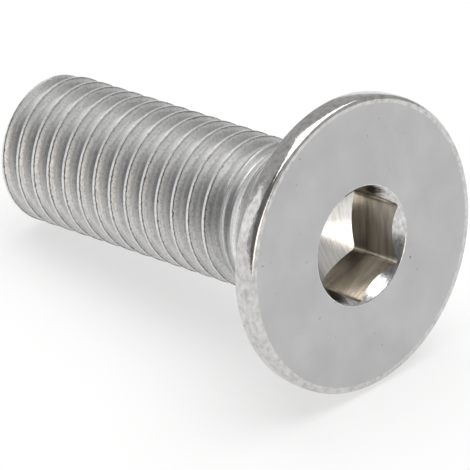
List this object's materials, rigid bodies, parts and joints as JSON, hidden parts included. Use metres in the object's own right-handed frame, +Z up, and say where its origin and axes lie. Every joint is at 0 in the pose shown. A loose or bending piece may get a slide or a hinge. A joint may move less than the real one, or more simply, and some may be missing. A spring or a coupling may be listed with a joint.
{
  "type": "countersunk socket screw",
  "caption": "Fully threaded stainless steel screw with a flat countersunk head, straight rim, hexagon socket with a chamfered mouth, and chamfered tip, lying on its side.",
  "frame": {"origin": "centre of the head's flat face, on the screw's axis", "axes": "+X level, from the tip towards the head; +Z up; the axis lies in the XZ plane and rises 10.1 degrees towards the head, because the screw lies on its rim and the end of its shank"},
  "size_m": [0.0374, 0.0234, 0.0233],
  "materials": {
    "stainless_steel": "bright stainless steel: satin head face, smooth bright rim and socket, rolled thread"
  },
  "bodies": {
    "root": {"screw": "stainless_steel"}
  },
  "joints": []
}
